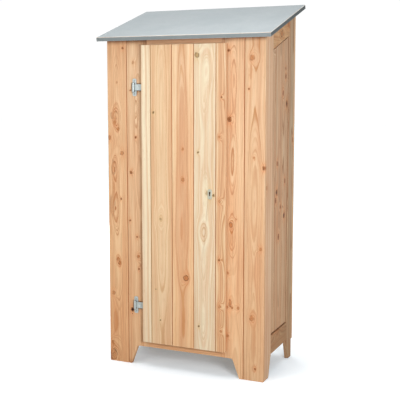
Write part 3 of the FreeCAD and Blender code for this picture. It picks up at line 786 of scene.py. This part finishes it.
def knots_of(node, turn, chance):
    """The knots on one board in its own axes: measured ones, or some drawn by lot."""
    low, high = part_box(node)
    middle = (low + high) / 2
    size = turn.inverted() @ (high - low)
    half_across, half_along = abs(size.x) / 2, abs(size.z) / 2
    walls = {"door": DOOR_KNOTS, "front": FRONT_KNOTS, "side": RIGHT_SIDE_KNOTS}
    wall = walls.get(node.split("_")[0])
    found = []
    if wall and node in CUTS:
        for knot in (Knot(*row) for row in wall):
            point = Vector((BODY_CORNER.x + knot.across * MM, middle.y, knot.height * MM))
            if node.startswith("side_"):
                point = Vector((middle.x, BODY_CORNER.y + knot.across * MM, knot.height * MM))
            local = turn.inverted() @ (point - middle)
            if abs(local.x) < half_across and abs(local.z) < half_along:
                found.append((local.x, local.z, knot.size * MM, knot.stretch, knot.kind))
    else:
        along = -half_along + chance.uniform(0.05, OTHER_KNOT_SPACING)
        while along < half_along:
            kind = chance.choice(OTHER_KNOTS)
            across = chance.uniform(-0.8, 0.8) * half_across
            width = chance.uniform(*OTHER_KNOT_SIZES_MM) * MM
            stretch = OTHER_KNOT_STRETCH
            if kind == "eye":
                across = across / 4
                width = chance.uniform(*OTHER_EYE_SIZES_MM) * MM
                stretch = chance.uniform(*OTHER_EYE_STRETCHES)
            found.append((across, along, width, stretch, kind))
            along += chance.uniform(0.5, 1.6) * OTHER_KNOT_SPACING
    return found


def random_cut(chance):
    """A cut for a board that no photograph shows."""
    return Cut(chance.choice(OTHER_TONES), *(chance.uniform(*span) for span in OTHER_CUTS))


def random_seed(chance):
    """Where in the noises a board's own patterns lie."""
    return tuple(chance.uniform(0.0, SEED_SPREAD) for _ in range(3))


def joint_line(net, node, turn, place):
    """Mask of the darker lines along a board's tongue and groove, or None."""
    low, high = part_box(node)
    half_across = abs((turn.inverted() @ (high - low)).x) / 2
    to_tongue = net.split(place)[0]
    if face_of(node) == "left":
        to_tongue = net.times(to_tongue, -1.0)
    line = None
    if node.startswith(GROOVED):
        line = net.fade(to_tongue, -half_across, JOINT_LINE - half_across)
    if node.startswith(TONGUED):
        edge = half_across - TONGUE_LENGTH
        right = net.ramp(to_tongue, edge - JOINT_LINE, edge)
        line = net.maths("MAXIMUM", line, right) if line else right
    share = FAINT_JOINT_SHARE if node in FAINT_JOINTS else JOINT_SHARE
    return net.times(line, share) if line else None


def near_straps(net):
    """Mask next to the hinge straps and beside their barrels, where a shadow is painted."""
    at = net.split(net.object_place())
    under, over, beside = STRAP_MARGINS
    mask = 0.0
    for strap in ("hinge_strap_low", "hinge_strap_high"):
        low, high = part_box(strap)
        bottom = net.ramp(at[2], low.z - under - STRAP_BLUR, low.z - under)
        top = net.fade(at[2], high.z + over, high.z + over + STRAP_BLUR)
        left = net.ramp(at[0], low.x - beside - STRAP_BLUR, low.x - beside)
        near = net.times(net.times(bottom, top), left)
        mask = net.maths("MAXIMUM", mask, near)
    return mask


def knot_marks(net, place, knots):
    """Lift, heart, dark and stain of a board's knots, each knot added to those before it."""
    warp = net.noise(place, KNOT_WARP_SCALE, detail=3.0, roughness=0.6).outputs["Color"]
    warp = net.vectors("MULTIPLY", net.vectors("SUBTRACT", warp, EVEN_VECTOR), KNOT_WARP)
    bent = net.vectors("ADD", place, warp)
    chain = {"Rise": 0.0, "Heart": 0.0, "Dark": 0.0, "Stain": 0.0}
    for across, along, size, stretch, kind in knots:
        own = {"Across": across, "Along": along, "Size": size, "Stretch": stretch}
        marks = net.use(KNOT, Position=bent, **own, **KNOT_KINDS[kind]._asdict(), **chain)
        chain = dict(marks.items())
    return chain


def shade_wood(net, colour, height, crevice_shade, shades):
    """Painted shade on wood: in corners, under the roof, in joints and beside the straps."""
    # Painted shade in the corners beside a step
    if "corner" in shades:
        colour = net.blend(crevices(net, CORNER_REACH), colour, CORNER_SHADE, "MULTIPLY")
    # Painted shade under the edge of the roof
    if "eaves" in shades:
        hidden = net.maths("POWER", crevices(net, EAVES_REACH), EAVES_POWER)
        near_roof = net.ramp(height, *EAVES_HEIGHTS, 0.0, RAIL_SHARE if "rail" in shades else 1.0)
        hidden = net.times(hidden, near_roof)
        colour = net.blend(hidden, colour, EAVES_SHADE, "MULTIPLY")
    # Painted shade deep in joints and gaps
    colour = net.lay(colour, crevice_shade, crevices(net, CREVICE_REACH), CREVICE_SHADE_SHARE)
    # Painted shadow beside the hinge straps
    if "straps" in shades:
        hidden = net.maths("POWER", crevices(net, STRAP_REACH), STRAP_POWER)
        colour = net.lay(colour, STRAP_SHADE, hidden, near_straps(net))
    return colour


def wood_surface(net, shader, place, cut, seed, knots, joint=None, crevice_shade=JOINT_CREVICE_SHADE, shades=()):
    """Colours, gloss and relief of planed larch on a shader."""
    knot = knot_marks(net, place, knots)
    rings = net.use(
        RINGS,
        Position=place,
        Pith=(cut.pith_across, cut.pith_depth, 0.0),
        Seed=seed,
        Ring_Width=cut.ring,
        Wander=cut.wander,
        Rise=knot["Rise"],
    )
    fibres = net.use(FIBRES, Position=place, Seed=seed)
    worn = net.use(WEAR, Position=place, Width=WOOD_WEAR_WIDTH, Patches=WOOD_WEAR_PATCHES)["Worn"]

    boldness = net.times(knot["Stain"], BOLD_NEAR_KNOTS, 1.0)
    grain = net.times(rings["Late"], boldness)
    grain = net.maths("MAXIMUM", grain, net.times(fibres["Streaks"], STREAK_SHARE))
    colour = net.blend(grain, cut.tone.early, cut.tone.late)
    if cut.sapwood < NO_SAPWOOD:
        inner, outer = cut.sapwood - SAPWOOD_BLUR, cut.sapwood + SAPWOOD_BLUR
        pale = net.ramp(rings["Radius"], inner, outer, 0.0, SAPWOOD_SHARE)
        colour = net.blend(pale, colour, SAPWOOD)
    bands = net.blend(net.ramp(rings["Cloud"], *CLOUD_SPAN), RED_BAND, PALE_BAND)
    colour = net.blend(1.0, colour, bands, "MULTIPLY")
    colour = net.dim(colour, net.ramp(fibres["Fibre"], *FIBRE_SPAN, *FIBRE_TONES))
    colour = net.lay(colour, RESIN, fibres["Canals"], RESIN_SHARE)
    stain, heart = OLIVE_KNOT if cut.tone in (CREAM, IVORY, TAN) else RED_KNOT
    colour = net.lay(colour, stain, knot["Stain"], STAIN_SHARE)
    colour = net.lay(colour, heart, knot["Heart"], HEART_SHARE)
    colour = net.lay(colour, KNOT_DARK, knot["Dark"], KNOT_DARK_SHARE)
    # Painted shade inside holes
    colour = net.blend(net.ramp(knot["Dark"], *HOLE_SHADE_SPAN), colour, HOLE_SHADE)
    colour = net.lay(colour, WORN_WOOD, worn, WOOD_WEAR_SHARE)
    height = net.split(net.object_place())[2]
    # Painted shade, darker and warmer towards the ground
    deepened = net.ramp(height, 0.0, GROUND_SHADE_UP_TO, cut.tone.deepened, 0.0)
    colour = net.blend(deepened, colour, GROUND_SHADE, "MULTIPLY")
    if joint:
        colour = net.blend(joint, colour, JOINT_STAIN, "MULTIPLY")
    net.feed(shader["Base Color"], shade_wood(net, colour, height, crevice_shade, shades))

    rough = net.times(rings["Late"], LATE_ROUGHNESS, WOOD_ROUGHNESS)
    rough = net.times(fibres["Fibre"], FIBRE_ROUGHNESS, rough)
    net.feed(shader["Roughness"], net.times(knot["Heart"], HEART_ROUGHNESS, rough))
    shader["Specular IOR Level"].default_value = WOOD_GLOSS
    relief = net.times(rings["Late"], LATE_RELIEF, fibres["Fibre"])
    relief = net.times(knot["Heart"], HEART_RELIEF, relief)
    net.feed(shader["Normal"], net.bump(relief, WOOD_RELIEF_STRENGTH, WOOD_RELIEF_DEPTH))


def board_material(node, index, lies):
    """Larch of one board, with its own cut, knots and seed."""
    chance = random.Random(BOARD_SEED + index)
    material, net, shader = new_material("larch_" + node)
    turn = board_turn(node, lies)
    cut = CUTS.get(node) or random_cut(chance)
    seed = random_seed(chance)
    place = wood_place(net, node, turn)
    knots = knots_of(node, turn, chance)
    joint = joint_line(net, node, turn, place)
    crevice_shade = SIDE_CREVICE_SHADE if node.startswith("side_") else JOINT_CREVICE_SHADE
    if cut.tone == CREAM:
        crevice_shade = PALE_CREVICE_SHADE
    shades = [shade for shade, boards in SHADES.items() if node.startswith(boards)]
    wood_surface(net, shader, place, cut, seed, knots, joint, crevice_shade, shades)
    return material


def glued_material(node, index):
    """Panel of narrow staves glued edge to edge, each stave with its own part of the rings."""
    chance = random.Random(PANEL_SEED + index)
    material, net, shader = new_material("glued_" + node)
    parts = net.split(wood_place(net, node, FLAT))
    staves = net.maths("DIVIDE", parts[0], STAVE_WIDTH)
    across = net.times(net.maths("SUBTRACT", net.maths("FRACT", staves), 0.5), STAVE_WIDTH)
    along = net.times(net.maths("FLOOR", staves), STAVE_STEP, parts[2])
    place = net.join(across, parts[1], along)
    wood_surface(net, shader, place, PANEL_CUT, random_seed(chance), [])
    return material


def shade_rims(net, tone):
    """Zinc tone of the folded sheet: painted shade on rims, painted highlight along folds."""
    facing = net.split(net.node("ShaderNodeNewGeometry").outputs["True Normal"])
    # Painted shade on the rims, darkest on the side rims
    rim = net.ramp(net.maths("ABSOLUTE", facing[0]), *SIDEWAYS, *RIM_SHADES)
    tone = net.dim(tone, net.ramp(facing[2], *RIM_TO_SLOPE, rim, 1.0))
    # Painted highlight along the folds
    fold = net.times(net.fade(facing[2], *FOLD_TO_SLOPE), net.ramp(facing[2], *RIM_TO_FOLD))
    return net.lay(tone, FOLD_HIGHLIGHT, fold, FOLD_HIGHLIGHT_SHARE)


def zinc_material(metal, folded=False):
    """Zinc skin: flakes, patina clouds, rolling marks, worn edges, painted shadow in gaps."""
    material, net, shader = new_material(metal.name)
    place = net.object_place()
    skin = net.use(ZINC, Position=place, Flake_Size=metal.flake)
    worn = net.use(WEAR, Position=place, Width=metal.wear, Patches=ZINC_WEAR_PATCHES)["Worn"]
    flakes = net.times(skin["Flakes"], FLAKE_TONE, 1.0 - FLAKE_TONE)
    patina = net.ramp(skin["Cloud"], *PATINA_SPAN, 0.0, PATINA_SHARE)
    tone = net.blend(patina, net.dim(metal.clean, flakes), metal.dull)
    if folded:
        tone = shade_rims(net, tone)
    tone = net.lay(tone, WORN_ZINC, worn, ZINC_WEAR_SHARE)
    # Painted shadow in the gaps
    tone = net.lay(tone, METAL_SHADOW, crevices(net, METAL_SHADOW_REACH), METAL_SHADOW_SHARE)
    net.feed(shader["Base Color"], tone)
    shader["Metallic"].default_value = metal.metallic
    rough = net.times(skin["Cloud"], PATINA_ROUGHNESS, metal.rough)
    net.feed(shader["Roughness"], net.times(skin["Marks"], MARK_ROUGHNESS, rough))
    net.feed(shader["Normal"], net.bump(skin["Marks"], ZINC_RELIEF_STRENGTH, ZINC_RELIEF_DEPTH))
    return material


def dress(node, material):
    """Gives a node of the construction its finish."""
    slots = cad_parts[node].data.materials
    slots.clear()
    slots.append(material)


def ease_edges(node, width):
    """Breaks the sharp edges of a piece by a small round, as a plane or a file leaves them."""
    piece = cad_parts[node]
    weld = piece.modifiers.new("joined", "WELD")
    weld.merge_threshold = JOINED_WITHIN
    bevel = piece.modifiers.new("eased", "BEVEL")
    bevel.width = width
    bevel.segments = ROUND_SEGMENTS
    bevel.limit_method = "ANGLE"
    bevel.angle_limit = math.radians(ROUND_FROM)


# Roof sheet: its pitch in degrees, sizes of its slope, rims and folds, and the degrees that make
# an edge sharp
ROOF_PITCH = 17.8
ROOF_SLOPE_LENGTH = 0.562
RIM_HEIGHT = 0.020
SHEET_THICKNESS = 0.001
FOLD_RADIUS = 0.0046
FOLD_SEGMENTS = 4
SHARP_FROM = 40

# The tab at each low corner: how far it reaches along the front rim, how much less at its top and
# bottom, the levels of its top and of its lower shoulder, and the round of its bend
TAB_REACH = 0.014
TAB_SLANT = 0.004
TAB_TOP = 0.0048
TAB_SHOULDER = 0.016
TAB_ROUND = 0.0014
TAB_STEPS = 4


def roof_slope():
    """Placing of the roof's slope: x across, y up the slope from the low edge, z out of it."""
    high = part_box("roof_sheet")[1]
    pitch = math.radians(ROOF_PITCH)
    low_edge_y = high.y - ROOF_SLOPE_LENGTH * math.cos(pitch) - RIM_HEIGHT * math.sin(pitch)
    low_edge_z = high.z - ROOF_SLOPE_LENGTH * math.sin(pitch)
    return Matrix.Translation((0.0, low_edge_y, low_edge_z)) @ Matrix.Rotation(pitch, 4, "X")


def sheet_shell(made, half_width):
    """The sheet with its four rims folded down over a small round."""
    outline = ((-1, 0.0), (1, 0.0), (1, ROOF_SLOPE_LENGTH), (-1, ROOF_SLOPE_LENGTH))
    rim = [made.verts.new((side * half_width, y, -RIM_HEIGHT)) for side, y in outline]
    top = [made.verts.new((side * half_width, y, 0.0)) for side, y in outline]
    made.faces.new(top)
    for corner in range(4):
        following = (corner + 1) % 4
        made.faces.new((rim[corner], rim[following], top[following], top[corner]))
    folds = [edge for edge in made.edges if len(edge.link_faces) == 2]
    bmesh.ops.bevel(
        made, geom=folds, offset=FOLD_RADIUS, segments=FOLD_SEGMENTS, profile=0.5, affect="EDGES"
    )
    bmesh.ops.recalc_face_normals(made, faces=made.faces)
    if sum(face.normal.z for face in made.faces) < 0:
        bmesh.ops.reverse_faces(made, faces=made.faces)
    bmesh.ops.solidify(made, geom=made.faces[:], thickness=SHEET_THICKNESS)


def tab_side(half_width, depth):
    """One face of a tab seen from above, at a depth in the sheet: the end of the rim and a bend."""
    middle_x, middle_y = half_width - TAB_ROUND, TAB_ROUND - SHEET_THICKNESS
    line = [(half_width - depth, FOLD_RADIUS)]
    for step in range(TAB_STEPS + 1):
        angle = math.radians(step * 90 / TAB_STEPS)
        out = TAB_ROUND - depth
        line.append((middle_x + out * math.cos(angle), middle_y - out * math.sin(angle)))
    return line


def corner_tab(made, half_width, side):
    """End of a side rim, bent round the low corner and laid on the front rim."""
    outer = tab_side(half_width, 0.0)
    inner = tab_side(half_width, SHEET_THICKNESS)
    short = TAB_REACH - TAB_SLANT
    rings = []
    for height, reach in ((-RIM_HEIGHT, short), (-TAB_SHOULDER, TAB_REACH), (-TAB_TOP, short)):
        end = half_width - reach
        strip = outer + [(end, -SHEET_THICKNESS), (end, 0.0)] + inner[::-1]
        rings.append([made.verts.new((side * x, y, height)) for x, y in strip])
    count = len(rings[0])
    for lower, upper in zip(rings, rings[1:]):
        for i in range(count):
            j = (i + 1) % count
            made.faces.new((lower[i], lower[j], upper[j], upper[i]))
    for ring in (rings[0], rings[-1]):
        for i in range(count // 2 - 1):
            made.faces.new((ring[i], ring[i + 1], ring[count - 2 - i], ring[count - 1 - i]))


def roof_sheet():
    """Folded zinc sheet in place of the plain one of the construction."""
    half_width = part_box("roof_sheet")[1].x
    made = bmesh.new()
    sheet_shell(made, half_width)
    for side in (-1, 1):
        tab = bmesh.new()
        corner_tab(tab, half_width, side)
        bmesh.ops.recalc_face_normals(tab, faces=tab.faces)
        part = bpy.data.meshes.new("corner_tab")
        tab.to_mesh(part)
        tab.free()
        made.from_mesh(part)
        bpy.data.meshes.remove(part)
    made.transform(roof_slope())
    mesh = bpy.data.meshes.new("folded_roof_sheet")
    made.to_mesh(mesh)
    made.free()
    for face in mesh.polygons:
        face.use_smooth = True
    mesh.set_sharp_from_angle(angle=math.radians(SHARP_FROM))
    sheet = new_object("folded_roof_sheet", mesh)
    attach(sheet, "cabinet")
    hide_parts("roof_sheet")
    return sheet


def dress_all():
    """Finishes of every node: wood by its cut, fittings by their metal."""
    plated = zinc_material(ZINC_PLATE)
    lock_plate = zinc_material(LOCK_PLATE)
    steel = zinc_material(SCREW_PLATE)
    sheet = roof_sheet()
    rolled = zinc_material(ROLLED_ZINC, folded=True)
    sheet.data.materials.append(rolled)
    for index, node in enumerate(sorted(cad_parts)):
        if "screws" in node:
            dress(node, steel)
        elif node == "lock_escutcheon":
            dress(node, lock_plate)
        elif node.startswith(("hinge", "lock")):
            dress(node, plated)
        elif node == "roof_sheet":
            dress(node, rolled)
        elif node in GLUED:
            dress(node, glued_material(node, index))
            ease_edges(node, PANEL_ROUND)
        else:
            lies = any(word in node for word in LYING)
            dress(node, board_material(node, index, lies))
            ease_edges(node, BOARD_ROUND)


# The floor looks white, and sends back less light than it looks to, as a floor does that ends
# outside the picture. Its glow is painted light, weaker near the cabinet, that keeps it white
# round the cabinet's shadow
FLOOR_HALF_SIZE = 30.0
FLOOR_COLOUR = (0.88, 0.92, 0.955, 1.0)
FLOOR_BOUNCE = (0.30, 0.255, 0.20, 1.0)
FLOOR_GLOW = (0.80, 0.95, 1.0, 1.0)
FLOOR_GLOW_STRENGTHS = (0.18, 0.55)
FLOOR_GLOW_DISTANCES = (1.0, 3.0)


def floor():
    """Large pale floor that the cabinet stands on."""
    mesh = bpy.data.meshes.new("floor")
    made = bmesh.new()
    bmesh.ops.create_grid(made, x_segments=1, y_segments=1, size=FLOOR_HALF_SIZE)
    made.to_mesh(mesh)
    made.free()
    piece = new_object("floor", mesh)
    material, net, shader = new_material("pale_floor")
    seen = net.node("ShaderNodeLightPath").outputs["Is Camera Ray"]
    net.feed(shader["Base Color"], net.blend(seen, FLOOR_BOUNCE, FLOOR_COLOUR))
    shader["Roughness"].default_value = 0.9
    shader["Specular IOR Level"].default_value = 0.0
    # Painted light: the floor glows, more far from the cabinet
    shader["Emission Color"].default_value = FLOOR_GLOW
    far = net.length(net.object_place())
    glow = net.ramp(far, *FLOOR_GLOW_DISTANCES, *FLOOR_GLOW_STRENGTHS)
    net.feed(shader["Emission Strength"], glow)
    mesh.materials.append(material)


# Square soft lights: where each hangs, the point it looks at, its width, power and colour
Lamp = namedtuple("Lamp", "name place target size power colour")
LAMPS = (
    Lamp("main_light", (2.3, -2.5, 1.22), (0.0, -0.1, 0.85), 1.0, 84.0, (0.97, 0.98, 1.0)),
    Lamp("front_fill", (-1.2, -3.9, 3.1), (0.0, 0.0, 1.2), 2.0, 44.0, (1.0, 0.98, 0.95)),
    Lamp("top_light", (-0.9, -0.8, 4.5), (0.0, 0.0, 1.2), 2.4, 76.0, (1.0, 1.0, 1.0)),
    Lamp("rear_light", (-2.6, 3.4, 1.5), (0.0, 0.2, 0.9), 2.4, 70.0, (1.0, 1.0, 1.0)),
)

# Even light from above, whose tilt and spread are in degrees, and the white room round it all
SKY_POWER = 1.2
SKY_TILT = 20.0
SKY_SPREAD = 50.0
WHITE = (1.0, 1.0, 1.0, 1.0)
BACKDROP_STRENGTH = 1.02
ROOM_COLOUR = (0.94, 0.97, 1.0, 1.0)
ROOM_STRENGTH = 0.30


def area_light(lamp):
    """Hangs one square soft light."""
    data = bpy.data.lights.new(lamp.name, "AREA")
    data.color = lamp.colour
    data.size = lamp.size
    data.energy = lamp.power
    light = new_object(lamp.name, data)
    light.location = lamp.place
    way = Vector(lamp.target) - Vector(lamp.place)
    light.rotation_euler = way.to_track_quat("-Z", "Y").to_euler()


def sky_light():
    """Even light from above, tilted towards the back, so that the soft shadow falls forward."""
    data = bpy.data.lights.new("sky_light", "SUN")
    data.energy = SKY_POWER
    data.angle = math.radians(SKY_SPREAD)
    light = new_object("sky_light", data)
    light.rotation_euler = (math.radians(-SKY_TILT), 0.0, 0.0)


def studio():
    """White room with a main light from the right, a fill from the front and one from behind."""
    world = bpy.data.worlds.new("studio")
    bpy.context.scene.world = world
    world.use_nodes = True
    net = Net(world.node_tree)
    backdrop = world.node_tree.nodes["Background"]
    backdrop.inputs["Color"].default_value = WHITE
    backdrop.inputs["Strength"].default_value = BACKDROP_STRENGTH
    room = net.node("ShaderNodeBackground", {"Color": ROOM_COLOUR, "Strength": ROOM_STRENGTH})
    seen = net.node("ShaderNodeLightPath").outputs["Is Camera Ray"]
    inputs = {0: seen, 1: room.outputs[0], 2: backdrop.outputs[0]}
    mixed = net.node("ShaderNodeMixShader", inputs)
    net.feed(world.node_tree.nodes["World Output"].inputs["Surface"], mixed.outputs[0])
    for lamp in LAMPS:
        area_light(lamp)
    sky_light()
    bpy.context.scene.view_settings.view_transform = "Standard"


def camera():
    """Camera where the photograph was taken from."""
    data = bpy.data.cameras.new("camera")
    data.lens = CAMERA_LENS_MM
    data.sensor_width = CAMERA_SENSOR_MM
    data.shift_y = CAMERA_SHIFT_Y
    eye = new_object("camera", data)
    eye.location = CAMERA_PLACE
    tilt = math.radians(90 - CAMERA_TILT_DOWN)
    eye.rotation_euler = (tilt, 0.0, math.radians(CAMERA_TURN_LEFT))
    bpy.context.scene.camera = eye


camera()
dress_all()
floor()
studio()
